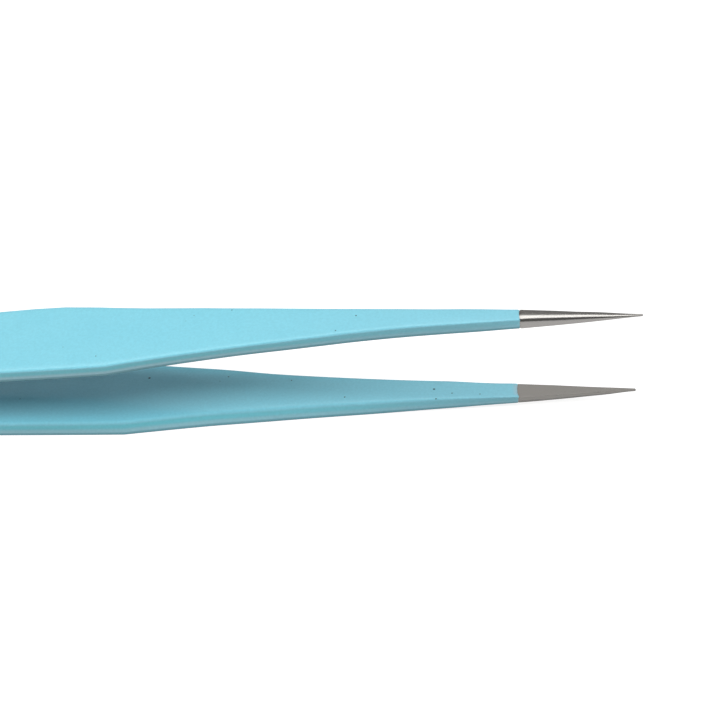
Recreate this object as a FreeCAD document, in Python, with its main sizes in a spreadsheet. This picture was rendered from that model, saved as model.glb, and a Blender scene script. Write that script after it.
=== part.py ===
import FreeCAD, Part
import math
import os
import Sketcher

# Pointed tweezers: two steel blades, welded together at the tail, under one skin of epoxy.
# The tweezers are drawn about the plane between the blades, with the tail at x = 0,
# the points at x = overall_length and z up through the upper blade.
# They are then laid down on the grip of the lower blade.

doc = FreeCAD.newDocument("PointedTweezers")

# Driving dimensions in millimetres and degrees
sizes = {
    "overall_length": 120.0,
    "steel_thickness": 1.5,
    "coat_thickness": 0.1,
    # side view of one blade, measured from the plane between the two
    "weld_length": 12.0,
    "bend_radius": 20.0,
    "bow_end": 40.0,
    "grip_angle": 1.97,
    "point_opening": 10.56,
    "thinning_length": 30.0,
    "neck_thickness": 0.95,
    # plan view
    "tail_width": 6.6,
    "tail_corner_radius": 1.8,
    "blade_width": 9.3,
    "near_shoulder": 54.2,
    "far_shoulder": 60.5,
    "far_flat_start": 44.5,
    "far_flat_width": 6.8,
    "needle_length": 20.0,
    "needle_root_width": 2.46,
    # bare steel points
    "bare_length": 12.4,
    "bare_root_width": 1.7,
    "bare_root_thickness": 1.0,
    "point_width": 0.16,
    "point_thickness": 0.13,
    # the steel's edges are sharp, and the coat rounds them
    "coat_edge_radius": 0.27,
}

sheet = doc.addObject("Spreadsheet::Sheet", "Sizes")
for row, (alias, value) in enumerate(sizes.items(), 1):
    sheet.set("A%d" % row, alias)
    sheet.set("B%d" % row, str(value))
    sheet.setAlias("B%d" % row, alias)
doc.recompute()


def size(alias):
    return float(sheet.get(alias))


def point(x, y):
    return FreeCAD.Vector(x, y, 0)


def arc(centre, start, end):
    """An arc that turns anticlockwise from start to the direction of end."""
    circle = Part.Circle(centre, FreeCAD.Vector(0, 0, 1), (start - centre).Length)
    from_angle = math.atan2(start.y - centre.y, start.x - centre.x)
    to_angle = math.atan2(end.y - centre.y, end.x - centre.x)
    return Part.ArcOfCircle(circle, from_angle, to_angle)


def tangent_arc_centre(start, direction, end):
    """The centre of the arc that leaves start along a direction and passes through end."""
    normal = point(-direction.y, direction.x)
    chord = end - start
    return start + normal * (chord.dot(chord) / (2 * chord.dot(normal)))


def new_sketch(body, name, plane_role, height=None):
    sketch = body.newObject("Sketcher::SketchObject", name)
    plane = [item for item in body.Origin.OriginFeatures if item.Role == plane_role][0]
    sketch.AttachmentSupport = (plane, "")
    sketch.MapMode = "FlatFace"
    if height:
        sketch.setExpression("AttachmentOffset.Base.z", height)
    return sketch


def relate(sketch, kind, *places):
    sketch.addConstraint(Sketcher.Constraint(kind, *places))


def measure(sketch, name, formula, kind, *places):
    """A named dimension that follows the sheet."""
    result = sketch.evalExpression(formula)
    number = float(getattr(result, "Value", result))
    if kind == "Angle":
        number = math.radians(number)
    index = sketch.addConstraint(Sketcher.Constraint(kind, *places, number))
    sketch.renameConstraint(index, name)
    sketch.setExpression("Constraints." + name, formula)


# Side view of one blade: flat where it is welded, bent open, bowed, straight along the grip
# and thinned towards the point. With a grow of coat_thickness it is the outside of the skin.
def side_profile(body, grow):
    sketch = new_sketch(body, body.Name + "_side", "XZ_Plane")
    extra = size("coat_thickness") if grow == "Sizes.coat_thickness" else 0.0
    slope = math.radians(size("grip_angle"))
    along = point(math.cos(slope), math.sin(slope))
    normal = point(-along.y, along.x)
    steel = size("steel_thickness")

    # steel inner line, then each layer is an offset from it
    bare_start = size("overall_length") - size("bare_length")
    inner_end = point(bare_start, size("point_opening") / 2 - size("bare_length") * math.tan(slope))
    bow_end = inner_end - along * ((bare_start - size("bow_end")) / along.x)
    bend_centre = point(size("weld_length"), size("bend_radius"))
    reach = bend_centre - bow_end
    bow_radius = (reach.dot(reach) - size("bend_radius") ** 2) / (
        2 * (size("bend_radius") - reach.dot(normal)))
    bow_centre = bow_end - normal * bow_radius
    to_bow = (bow_centre - bend_centre).normalize()

    tail_bottom = point(-extra, -extra)
    weld_bottom = point(bend_centre.x, -extra)
    bend_bottom = bend_centre + to_bow * (size("bend_radius") + extra)
    bow_bottom = bow_end - normal * extra
    neck_bottom = inner_end - point(0, extra / along.x)
    neck_top = neck_bottom + point(0, size("neck_thickness") + 2 * extra)
    outer = normal * (steel + extra)
    bow_top = bow_end + outer
    thinning_start = bow_end + outer + along * (
        (size("overall_length") - size("thinning_length") - bow_end.x) / along.x)
    thinning_centre = tangent_arc_centre(thinning_start, along, neck_top)
    bend_top = bend_centre + to_bow * (size("bend_radius") - steel - extra)
    weld_top = point(bend_centre.x, steel + extra)
    tail_top = point(-extra, steel + extra)

    sketch.addGeometry([
        Part.LineSegment(tail_bottom, weld_bottom),
        arc(bend_centre, weld_bottom, bend_bottom),
        arc(bow_centre, bow_bottom, bend_bottom),
        Part.LineSegment(bow_bottom, neck_bottom),
        Part.LineSegment(neck_bottom, neck_top),
        arc(thinning_centre, neck_top, thinning_start),
        Part.LineSegment(thinning_start, bow_top),
        arc(bow_centre, bow_top, bend_top),
        arc(bend_centre, weld_top, bend_top),
        Part.LineSegment(weld_top, tail_top),
        Part.LineSegment(tail_top, tail_bottom),
    ])
    relate(sketch, "Tangent", 0, 2, 1, 1)
    relate(sketch, "Tangent", 1, 2, 2, 2)
    relate(sketch, "Tangent", 2, 1, 3, 1)
    relate(sketch, "Coincident", 3, 2, 4, 1)
    relate(sketch, "Coincident", 4, 2, 5, 1)
    relate(sketch, "Tangent", 5, 2, 6, 1)
    relate(sketch, "Tangent", 6, 2, 7, 1)
    relate(sketch, "Tangent", 7, 2, 8, 2)
    relate(sketch, "Tangent", 8, 1, 9, 1)
    relate(sketch, "Coincident", 9, 2, 10, 1)
    relate(sketch, "Coincident", 10, 2, 0, 1)
    relate(sketch, "Coincident", 1, 3, 8, 3)
    relate(sketch, "Coincident", 2, 3, 7, 3)
    relate(sketch, "Horizontal", 0)
    relate(sketch, "Horizontal", 9)
    relate(sketch, "Vertical", 4)
    relate(sketch, "Vertical", 10)
    relate(sketch, "Parallel", 3, 6)

    measure(sketch, "bend_x", "Sizes.weld_length", "DistanceX", -1, 1, 1, 3)
    measure(sketch, "bend_y", "Sizes.bend_radius", "DistanceY", -1, 1, 1, 3)
    measure(sketch, "bend_inner", "Sizes.bend_radius + " + grow, "Radius", 1)
    measure(sketch, "bend_outer", "Sizes.bend_radius - Sizes.steel_thickness - " + grow, "Radius", 8)
    measure(sketch, "bow_x", "Sizes.bow_end + " + grow + " * sin(Sizes.grip_angle * 1 deg)",
            "DistanceX", -1, 1, 3, 1)
    measure(sketch, "grip", "Sizes.grip_angle * 1 deg", "Angle", 3)
    measure(sketch, "neck_x", "Sizes.overall_length - Sizes.bare_length", "DistanceX", -1, 1, 3, 2)
    measure(sketch, "neck_y", "Sizes.point_opening / 2 - Sizes.bare_length * tan(Sizes.grip_angle * 1 deg)"
            " - " + grow + " / cos(Sizes.grip_angle * 1 deg)", "DistanceY", -1, 1, 3, 2)
    measure(sketch, "neck", "Sizes.neck_thickness + 2 * " + grow, "DistanceY", 4, 1, 4, 2)
    measure(sketch, "thinning_x", "Sizes.overall_length - Sizes.thinning_length"
            " - (Sizes.steel_thickness + " + grow + ") * sin(Sizes.grip_angle * 1 deg)",
            "DistanceX", -1, 1, 6, 1)
    measure(sketch, "length", "Sizes.overall_length - Sizes.bare_length + " + grow,
            "DistanceX", 0, 1, 3, 2)
    return sketch


# Plan view: round-cornered tail, gently swelling sides, a shoulder on each side and a long needle.
# The sides are ground by hand, so the two shoulders stand at different places.
def plan_outline(body, grow):
    sketch = new_sketch(body, body.Name + "_plan", "XY_Plane")
    extra = size("coat_thickness") if grow == "Sizes.coat_thickness" else 0.0
    length = size("overall_length")
    tail = size("tail_width") / 2 + extra
    corner = size("tail_corner_radius") + extra
    widest = size("blade_width") / 2 + extra
    root = point(length - size("needle_length"), size("needle_root_width") / 2 + extra)
    tip = point(length, size("point_width") / 2 + extra)
    far_flat = point(length - size("far_flat_start"), size("far_flat_width") / 2 + extra)
    far_shoulder = point(length - size("far_shoulder"), widest)
    near_shoulder = point(length - size("near_shoulder"), widest)
    corner_centre = point(corner - extra, tail - corner)
    needle = (root - tip).normalize()

    def mirrored(place):
        return point(place.x, -place.y)

    def rear_arc(shoulder):
        """The centre of the side's arc, which lies level at the shoulder, and its end at the corner."""
        reach = shoulder - corner_centre
        radius = (reach.dot(reach) - corner ** 2) / (2 * (reach.y - corner))
        centre = shoulder - point(0, radius)
        return centre, corner_centre + (corner_centre - centre).normalize() * corner

    far_centre, far_corner = rear_arc(far_shoulder)
    near_centre, near_corner = rear_arc(near_shoulder)
    far_hollow = tangent_arc_centre(root, needle, far_flat)
    near_hollow = tangent_arc_centre(root, needle, near_shoulder)
    tail_edge = point(-extra, corner_centre.y)
    blank = 2 * size("blade_width")
    blank_corners = [point(-blank, -blank), point(length + blank, -blank),
                     point(length + blank, blank), point(-blank, blank)]

    sketch.addGeometry([
        Part.LineSegment(mirrored(tail_edge), tail_edge),
        arc(corner_centre, far_corner, tail_edge),
        arc(far_centre, far_shoulder, far_corner),
        Part.LineSegment(far_shoulder, far_flat),
        arc(far_hollow, far_flat, root),
        Part.LineSegment(root, tip),
        Part.LineSegment(tip, mirrored(tip)),
        Part.LineSegment(mirrored(tip), mirrored(root)),
        arc(mirrored(near_hollow), mirrored(root), mirrored(near_shoulder)),
        arc(mirrored(near_centre), mirrored(near_corner), mirrored(near_shoulder)),
        arc(mirrored(corner_centre), mirrored(tail_edge), mirrored(near_corner)),
    ])
    sketch.addGeometry([Part.LineSegment(blank_corners[i - 1], blank_corners[i]) for i in range(4)])
    relate(sketch, "Tangent", 0, 2, 1, 2)
    relate(sketch, "Tangent", 1, 1, 2, 2)
    relate(sketch, "Coincident", 2, 1, 3, 1)
    relate(sketch, "Coincident", 3, 2, 4, 1)
    relate(sketch, "Tangent", 4, 2, 5, 1)
    relate(sketch, "Coincident", 5, 2, 6, 1)
    relate(sketch, "Coincident", 6, 2, 7, 1)
    relate(sketch, "Tangent", 7, 2, 8, 1)
    relate(sketch, "Coincident", 8, 2, 9, 2)
    relate(sketch, "Tangent", 9, 1, 10, 2)
    relate(sketch, "Tangent", 10, 1, 0, 1)
    relate(sketch, "Vertical", 0)
    relate(sketch, "Vertical", 2, 1, 2, 3)
    relate(sketch, "Vertical", 9, 2, 9, 3)
    relate(sketch, "Symmetric", 1, 3, 10, 3, -1)
    relate(sketch, "Symmetric", 5, 1, 7, 2, -1)
    relate(sketch, "Symmetric", 5, 2, 7, 1, -1)

    measure(sketch, "corner", "Sizes.tail_corner_radius + " + grow, "Radius", 1)
    measure(sketch, "corner_x", "Sizes.tail_corner_radius", "DistanceX", -1, 1, 1, 3)
    measure(sketch, "corner_y", "Sizes.tail_width / 2 - Sizes.tail_corner_radius",
            "DistanceY", -1, 1, 1, 3)
    for index, side, side_name in ((2, 1, "far"), (9, 2, "near")):
        measure(sketch, side_name + "_shoulder_x", "Sizes.overall_length - Sizes." + side_name
                + "_shoulder", "DistanceX", -1, 1, index, side)
    measure(sketch, "far_half", "Sizes.blade_width / 2 + " + grow, "DistanceY", -1, 1, 2, 1)
    measure(sketch, "near_half", "Sizes.blade_width / 2 + " + grow, "DistanceY", 9, 2, -1, 1)
    measure(sketch, "flat_x", "Sizes.overall_length - Sizes.far_flat_start", "DistanceX", -1, 1, 3, 2)
    measure(sketch, "flat_y", "Sizes.far_flat_width / 2 + " + grow, "DistanceY", -1, 1, 3, 2)
    measure(sketch, "root_x", "Sizes.overall_length - Sizes.needle_length", "DistanceX", -1, 1, 5, 1)
    measure(sketch, "root_y", "Sizes.needle_root_width / 2 + " + grow, "DistanceY", -1, 1, 5, 1)
    measure(sketch, "tip_x", "Sizes.overall_length", "DistanceX", -1, 1, 5, 2)
    measure(sketch, "tip_y", "Sizes.point_width / 2 + " + grow, "DistanceY", -1, 1, 5, 2)

    # the blank around the outline, which the pocket takes away
    for index, kind in ((12, "Horizontal"), (13, "Vertical"), (14, "Horizontal")):
        relate(sketch, kind, index)
    for index in (11, 12, 13):
        relate(sketch, "Coincident", index, 2, index + 1, 1)
    relate(sketch, "Coincident", 14, 2, 11, 1)
    relate(sketch, "Symmetric", 11, 1, 11, 2, -1)
    measure(sketch, "blank_behind", "2 * Sizes.blade_width", "DistanceX", 11, 1, -1, 1)
    measure(sketch, "blank_side", "2 * Sizes.blade_width", "DistanceY", 12, 1, -1, 1)
    measure(sketch, "blank_ahead", "Sizes.overall_length + 2 * Sizes.blade_width",
            "DistanceX", -1, 1, 13, 1)
    return sketch


def long_edges(shape, upward):
    """The edges between the sides and the outer face, or the inner face where upward is -1."""
    names = []
    for number, edge in enumerate(shape.Edges, 1):
        middle = edge.valueAt((edge.FirstParameter + edge.LastParameter) / 2)
        faces = shape.ancestorsOfType(edge, Part.Face)
        normals = [face.normalAt(*face.Surface.parameter(middle)) for face in faces]
        is_side = [abs(normal.z) < 0.001 and normal.x < 0.99 for normal in normals]
        is_facing = [abs(normal.y) < 0.001 and normal.z * upward > 0.5 for normal in normals]
        if any(is_side) and any(is_facing):
            names.append("Edge%d" % number)
    return names


def round_edges(body):
    for side, upward in (("outer", 1), ("inner", -1)):
        base = body.Tip
        fillet = body.newObject("PartDesign::Fillet", "%s_%s_edges" % (body.Name, side))
        fillet.Base = (base, long_edges(base.Shape, upward))
        fillet.setExpression("Radius", "Sizes.coat_edge_radius")
        doc.recompute()


# One blade as far as the bare point: the side view padded across and cut to the plan
def blade_blank(name, grow):
    body = doc.addObject("PartDesign::Body", name)
    side = side_profile(body, grow)
    pad = body.newObject("PartDesign::Pad", name + "_pad")
    pad.Profile = side
    pad.SideType = "Symmetric"
    pad.setExpression("Length", "2 * Sizes.blade_width")
    plan = plan_outline(body, grow)
    doc.recompute()
    pocket = body.newObject("PartDesign::Pocket", name + "_cut")
    pocket.Profile = plan
    pocket.SideType = "Symmetric"
    pocket.Type = "ThroughAll"
    doc.recompute()
    return body


# Section of a bare point: flat where the two points meet, rounded outside
def point_section(body, name, along, flat, width, thickness):
    sketch = new_sketch(body, name, "YZ_Plane", along)
    half = "(%s / 2)" % width
    radius = "(%s ^ 2 + %s ^ 2) / (2 * %s)" % (half, thickness, thickness)
    level, half_width, height, round_radius = (
        float(getattr(value, "Value", value)) for value in
        (sketch.evalExpression(formula) for formula in (flat, half, thickness, radius)))
    centre = point(0, level + height - round_radius)
    left = point(-half_width, level)
    right = point(half_width, level)
    sketch.addGeometry([Part.LineSegment(left, right), arc(centre, right, left)])
    relate(sketch, "Coincident", 0, 2, 1, 1)
    relate(sketch, "Coincident", 1, 2, 0, 1)
    relate(sketch, "Horizontal", 0)
    relate(sketch, "PointOnObject", 1, 3, -2)
    measure(sketch, "flat", flat, "DistanceY", -1, 1, 0, 1)
    measure(sketch, "width", width, "DistanceX", 0, 1, 0, 2)
    measure(sketch, "round", radius, "Radius", 1)
    return sketch


def add_bare_point(body):
    root = point_section(
        body, body.Name + "_root", "Sizes.overall_length - Sizes.bare_length",
        "Sizes.point_opening / 2 - Sizes.bare_length * tan(Sizes.grip_angle * 1 deg)",
        "Sizes.bare_root_width", "Sizes.bare_root_thickness")
    tip = point_section(
        body, body.Name + "_tip", "Sizes.overall_length", "Sizes.point_opening / 2",
        "Sizes.point_width", "Sizes.point_thickness")
    doc.recompute()
    loft = body.newObject("PartDesign::AdditiveLoft", body.Name + "_point")
    loft.Profile = root
    loft.Sections = [tip]
    loft.Ruled = True
    doc.recompute()


# Laid down: the points tipped up by the grip's angle, the outside of the lower grip at z = 0
# and the middle of the length at x = 0
slope = "Sizes.grip_angle * 1 deg"
lift = ("Sizes.point_opening / 2 * cos({0}) - Sizes.overall_length * sin({0})"
        " + Sizes.steel_thickness + Sizes.coat_thickness").format(slope)
front_end = ("Sizes.overall_length * cos({0})"
             " + (Sizes.point_opening / 2 + Sizes.point_thickness) * sin({0})").format(slope)
rear_end = ("(Sizes.coat_edge_radius - Sizes.coat_thickness) * cos({0}) - Sizes.coat_edge_radius"
            " - (Sizes.steel_thickness + Sizes.coat_thickness - Sizes.coat_edge_radius) * sin({0})"
            ).format(slope)
shift = "-(%s + %s) / 2" % (front_end, rear_end)


def lay_down(body):
    body.Placement.Rotation = FreeCAD.Rotation(FreeCAD.Vector(0, -1, 0), size("grip_angle"))
    body.setExpression("Placement.Rotation.Angle", slope)
    body.setExpression("Placement.Base.x", shift)
    body.setExpression("Placement.Base.z", lift)


def opposite(body, name):
    """The body's mirror image in the plane between the two blades."""
    other = doc.addObject("Part::Mirroring", name)
    other.Source = body
    other.setExpression("Base.x", shift)
    other.setExpression("Base.z", lift)
    other.setExpression("Normal.x", "-sin(%s)" % slope)
    other.setExpression("Normal.z", "cos(%s)" % slope)
    return other


def less(name, base, tool):
    rest = doc.addObject("Part::Cut", name)
    rest.Base = base
    rest.Tool = tool
    return rest


upper_blade = blade_blank("upper_blade", "0")
add_bare_point(upper_blade)
lay_down(upper_blade)
lower_blade = opposite(upper_blade, "lower_blade")

# The epoxy skin is two grown blades, run together, less the steel
upper_skin = blade_blank("upper_skin", "Sizes.coat_thickness")
round_edges(upper_skin)
lay_down(upper_skin)
lower_skin = opposite(upper_skin, "lower_skin")
skins = doc.addObject("Part::MultiFuse", "skins")
skins.Shapes = [upper_skin, lower_skin]
coating = less("coating", less("lower_coating", skins, upper_blade), lower_blade)
doc.recompute()

for item in doc.Objects:
    for fault in ("Invalid", "Error"):
        if fault in item.State:
            raise RuntimeError("%s did not build" % item.Name)

os.makedirs("parts", exist_ok=True)
for piece in (upper_blade, lower_blade, coating):
    piece.Label = piece.Name
    if piece.Shape.isNull() or not piece.Shape.isValid():
        raise RuntimeError("%s has no valid shape" % piece.Label)
    piece.Shape.exportStep("parts/%s.step" % piece.Label)
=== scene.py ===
import math

import bmesh
import bpy
import numpy as np
from mathutils import Matrix, Vector


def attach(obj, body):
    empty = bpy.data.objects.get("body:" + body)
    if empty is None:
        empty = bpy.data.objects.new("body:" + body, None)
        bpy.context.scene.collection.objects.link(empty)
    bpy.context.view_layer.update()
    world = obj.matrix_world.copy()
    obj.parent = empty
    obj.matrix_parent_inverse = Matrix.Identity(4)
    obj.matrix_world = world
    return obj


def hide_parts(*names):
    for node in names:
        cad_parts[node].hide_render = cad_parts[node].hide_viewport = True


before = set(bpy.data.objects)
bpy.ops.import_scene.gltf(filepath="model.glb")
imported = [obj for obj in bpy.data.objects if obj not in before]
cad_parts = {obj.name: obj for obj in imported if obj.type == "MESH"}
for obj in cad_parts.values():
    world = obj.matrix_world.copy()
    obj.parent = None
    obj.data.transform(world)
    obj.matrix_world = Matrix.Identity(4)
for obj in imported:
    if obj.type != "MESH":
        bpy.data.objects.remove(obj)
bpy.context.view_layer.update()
millimetre = 0.001
print("frame loaded with", ", ".join(sorted(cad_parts)))


# The blade's own shape, shared by the steel and by the epoxy over it, in millimetres.
# x runs from the tail at 0 to the points, y across the blade with the near side at -y, and z up
# through the upper blade from the plane between the two. s is the distance back from the points.
blade = {
    "length": 120.0,
    "steel": 1.5,                       # thickness of the sheet
    "coat": 0.1,                        # thickness of the epoxy
    "weld": 12.0,                       # flat, where the two blades are welded
    "bendRadius": 20.0,                 # of the bend that opens them
    "bowEnd": 40.0,                     # where the bow runs out into the straight grip
    "gripAngle": math.radians(1.97),
    "opening": 10.56,                   # between the points
    "tailHalf": 3.3,                    # half width at the tail
    "tailCorner": 1.8,                  # radius of its corners
    "half": 4.65,                       # half width at the shoulders
    "shoulder": {-1: 54.2, 1: 60.5},    # how far behind the points each side's shoulder is
    "farFlat": (44.5, 3.4),             # where the far side's straight run ends, and its half width
    "needle": 20.0,                     # length of the tapering point
    "needleHalf": 1.23,                 # half width at its root
    "pointHalf": 0.08,                  # half width at the tip
    "bare": 12.4,                       # length of the point without epoxy
    "edge": 0.27,                       # radius of the epoxy's edges
    "tailSpoke": 2.6,                   # the rows round the tail fan out from here
    "hollow": 0.06,                     # depth of the hollow along the grip's inner face
    "hollowRun": 40.0,                  # and its length, from the bare point back
    "margin": 0.002,                    # how far the skins stay inside the CAD's width
}
# Points along each run of the plan outline, and the first one from which x grows all the way
outlineSteps = {"tail": 60, "corner": 80, "rear": 900, "flat": 200, "hollow": 400, "needle": 400}
outlineRises = 80
turnReach = {"mean": 0.7, "square": 1.0}    # the outline's direction is averaged, but square at the tail
roundest = {"height": 0.46, "depth": 0.8}   # share of a section that one rounded edge may take up
planeReach = 1e-4                           # what is nearer to the plane between the blades lies on it

# Tables by distance from the points, for the upper blade (1) and the lower one (-1): the steel's thickness,
thickness = {1: {0: 0.13, 6: 0.52, 12.4: 0.94, 20: 1.306, 30: 1.5},
             -1: {0: 0.18, 3: 0.43, 6: 0.60, 9: 0.74, 12.4: 0.87, 16: 1.05, 20: 1.25, 30: 1.5}}
# how much wider the inner face is than the outer one, on each side,
innerStandsOut = {
    1: {0: 0.02, 4: 0.08, 8: 0.17, 12.25: 0.22, 12.39: 0.12, 16: 0.0, 20: -0.1, 28: -0.165, 36: -0.23,
        42: -0.33, 46: -0.33, 54.2: -0.27, 66: -0.2, 90: 0.0},
    -1: {0: 0.02, 12.4: 0.12, 16: 0.02, 20: -0.09, 28: -0.21, 36: -0.34, 44.5: -0.37, 54.2: -0.22, 60: -0.1,
         70: -0.06, 90: 0.0},
}
# how much wider than the plan the grinding left each blade, on both sides,
groundWider = {
    1: {0: 0.0, 4: 0.0, 8: -0.08, 12.25: -0.18, 12.39: -0.17, 18: -0.1, 25: -0.16, 29: -0.15, 32: -0.11,
        35: -0.09, 40: -0.1, 50: -0.11, 54: -0.06, 58: 0.0, 62: 0.02, 72: 0.02, 84: 0.0},
    -1: {0: 0.0, 4: 0.01, 8: 0.05, 12.25: 0.08, 12.39: 0.08, 16: 0.06, 20: 0.08, 28: 0.14, 38: 0.18,
         41.4: 0.16, 45: 0.1, 50: 0.1, 54: 0.075, 58: 0.11, 80: 0.0},
}
# and what it added to or took off the far side besides
farTrim = {
    1: {0: 0.05, 2: 0.1, 4: 0.14, 6: 0.13, 8: 0.2, 10.3: 0.28, 12.25: 0.32, 12.39: 0.15, 16: 0.05, 20: 0.01,
        25: 0.09, 29: 0.095, 32: 0.06, 38: 0.06, 45: -0.04, 50: -0.03, 54: 0.01, 56: 0.06, 58: 0.06,
        60.2: 0.08, 61: 0.04, 63: -0.034, 66: -0.15, 72: -0.24, 82: -0.12, 91: 0.0},
    -1: {0: 0.07, 2: 0.055, 4: 0.01, 8: -0.07, 12.25: -0.15, 12.39: -0.15, 14: -0.15, 16: -0.08, 20: 0.1,
         26: 0.09, 32: 0.1, 38: 0.07, 44: 0.23, 50: 0.25, 57: 0.1, 62: 0.0},
}


def byDistance(table, s):
    # A Hermite curve through a table. Its slope at each place is the harmonic mean of the two beside it, or
    # level at a peak, so it doesn't overshoot.
    places, values = np.array(sorted(table.items()), float).T
    widths = np.diff(places)
    slopes = np.diff(values) / widths
    both = slopes[1:] * slopes[:-1]
    rising = both > 0
    tangents = np.zeros_like(values)
    tangents[1:-1][rising] = 2 * both[rising] / (slopes[1:] + slopes[:-1])[rising]
    s = np.clip(s, places[0], places[-1])
    k = np.clip(np.searchsorted(places, s, side="right") - 1, 0, len(widths) - 1)
    u = (s - places[k]) / widths[k]
    return (values[k] * (2 * u ** 3 - 3 * u ** 2 + 1) + values[k + 1] * (3 * u ** 2 - 2 * u ** 3)
            + widths[k] * (tangents[k] * (u ** 3 - 2 * u ** 2 + u) + tangents[k + 1] * (u ** 3 - u ** 2)))


def hollowAt(s):
    # The grip's inner face is hollow by a sine squared over its run
    return blade["hollow"] * np.sin(np.pi * np.clip((s - blade["bare"]) / blade["hollowRun"], 0, 1)) ** 2


def innerLine(x):
    # Height and slope of the steel's inner face: level along the weld, then an arc that bends it open,
    # then a long flat arc that meets the first one and the straight grip smoothly.
    weld, radius, bowEnd, slope = (blade[name] for name in ("weld", "bendRadius", "bowEnd", "gripAngle"))
    normal = np.array([-math.sin(slope), math.cos(slope)])
    atBowEnd = np.array([bowEnd, blade["opening"] / 2 - (blade["length"] - bowEnd) * math.tan(slope)])
    bendCentre = np.array([weld, radius])
    reach = bendCentre - atBowEnd
    bowRadius = (reach @ reach - radius ** 2) / (2 * (radius - reach @ normal))
    bowCentre = atBowEnd - normal * bowRadius
    toBow = (bowCentre - bendCentre) / np.linalg.norm(bowCentre - bendCentre)
    meeting = weld + toBow[0] * radius
    level = x <= weld
    bend = (x > weld) & (x <= meeting)
    bow = (x > meeting) & (x <= bowEnd)
    height = np.where(level, 0.0, atBowEnd[1] + (x - bowEnd) * math.tan(slope))
    angle = np.where(level, 0.0, slope)
    across = np.where(bend, x - weld, 0.0)
    height = np.where(bend, radius - np.sqrt(radius ** 2 - across ** 2), height)
    angle = np.where(bend, np.arcsin(across / radius), angle)
    across = np.where(bow, x - bowCentre[0], 0.0)
    height = np.where(bow, bowCentre[1] + np.sqrt(bowRadius ** 2 - across ** 2), height)
    angle = np.where(bow, -np.arcsin(across / bowRadius), angle)
    return height + hollowAt(blade["length"] - x), angle


def arcPoints(centre, start, end, count):
    # Points along the shorter arc round a centre
    first = math.atan2(start[1] - centre[1], start[0] - centre[0])
    last = math.atan2(end[1] - centre[1], end[0] - centre[0])
    if abs(last - first) > math.pi:
        last += math.copysign(2 * math.pi, first - last)
    turn = np.linspace(first, last, count)
    return centre + np.linalg.norm(start - centre) * np.stack([np.cos(turn), np.sin(turn)], 1)


def planOutline(side):
    # Half of the steel's plan, as points along it from the middle of the tail to the tip: the tail's edge,
    # its round corner, an arc that lies level at the shoulder, on the far side a straight run,
    # a hollow arc and the straight side of the needle, each arc tangent to what follows it.
    length, corner = blade["length"], blade["tailCorner"]
    cornerCentre = np.array([corner, blade["tailHalf"] - corner])
    shoulder = np.array([length - blade["shoulder"][side], blade["half"]])
    reach = shoulder - cornerCentre
    radius = (reach @ reach - corner ** 2) / (2 * (reach[1] - corner))
    rearCentre = shoulder - np.array([0, radius])
    away = (cornerCentre - rearCentre) / np.linalg.norm(cornerCentre - rearCentre)
    root = np.array([length - blade["needle"], blade["needleHalf"]])
    tip = np.array([length, blade["pointHalf"]])
    needle = (root - tip) / np.linalg.norm(root - tip)
    hollowEnd = shoulder if side < 0 else np.array([length - blade["farFlat"][0], blade["farFlat"][1]])
    normal = np.array([-needle[1], needle[0]])
    chord = hollowEnd - root
    hollowCentre = root + normal * (chord @ chord / (2 * chord @ normal))

    tailEdge = np.array([0.0, cornerCentre[1]])
    cornerEnd = cornerCentre + away * corner
    steps = outlineSteps
    points = np.concatenate([
        np.linspace([0.0, 0.0], tailEdge, steps["tail"]),
        arcPoints(cornerCentre, tailEdge, cornerEnd, steps["corner"]),
        arcPoints(rearCentre, cornerEnd, shoulder, steps["rear"]),
        np.linspace(shoulder, hollowEnd, steps["flat"]),
        arcPoints(hollowCentre, hollowEnd, root, steps["hollow"]),
        np.linspace(root, tip, steps["needle"]),
    ])
    apart = np.linalg.norm(np.diff(points, axis=0), axis=1) > 1e-6      # where two runs meet they are doubled
    return points[np.concatenate([[True], apart])]


def softened(values, places, reach):
    # Running mean over a distance: each value becomes the average within reach on either side.
    total = np.concatenate([[0], np.cumsum((values[1:] + values[:-1]) / 2 * np.diff(places))])
    low = np.clip(places - reach, places[0], places[-1])
    high = np.clip(places + reach, places[0], places[-1])
    return (np.interp(high, places, total) - np.interp(low, places, total)) / (high - low)


def sideRows(side, rows):
    # Plan points and outward normals of one side at the given rows. The first rows are spread evenly along
    # the outline round the tail, the others stand at their own x.
    outline = planOutline(side)
    steps = np.linalg.norm(np.diff(outline, axis=0), axis=1)
    travelled = np.concatenate([[0], np.cumsum(steps)])
    along = np.gradient(outline, travelled, axis=0)
    heading = np.unwrap(np.arctan2(along[:, 1], along[:, 0]))
    heading = softened(heading, travelled, turnReach["mean"])
    heading[travelled < turnReach["square"]] = math.pi / 2
    risingX, risingAt = outline[outlineRises:, 0], travelled[outlineRises:]
    spokeStart = np.interp(blade["tailSpoke"], risingX, risingAt)
    at = np.concatenate([np.linspace(0, spokeStart, rows["fan"]), np.interp(rows["x"], risingX, risingAt)])
    points = np.stack([np.interp(at, travelled, outline[:, 0]), np.interp(at, travelled, outline[:, 1])], 1)
    turn = np.interp(at, travelled, heading)
    normals = np.stack([-np.sin(turn), np.cos(turn)], 1)
    normals[0] = (-1.0, 0.0)
    return points, normals


def roundCorner(corner, before, after, radius, steps):
    # A conic from the point at radius before the corner to the one at radius after it, pulled towards
    # the corner by the cosine of half the turn, which makes it a circle's arc.
    start = corner - before * radius[:, None]
    end = corner + after * radius[:, None]
    pull = np.sqrt(np.clip((1 + (before * after).sum(1)) / 2, 0, 1))[:, None, None]
    u = steps[None, :, None]
    weights = (1 - u) ** 2, 2 * u * (1 - u) * pull, u ** 2
    drawn = weights[0] * start[:, None] + weights[1] * corner[:, None] + weights[2] * end[:, None]
    return drawn / sum(weights)


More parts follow.
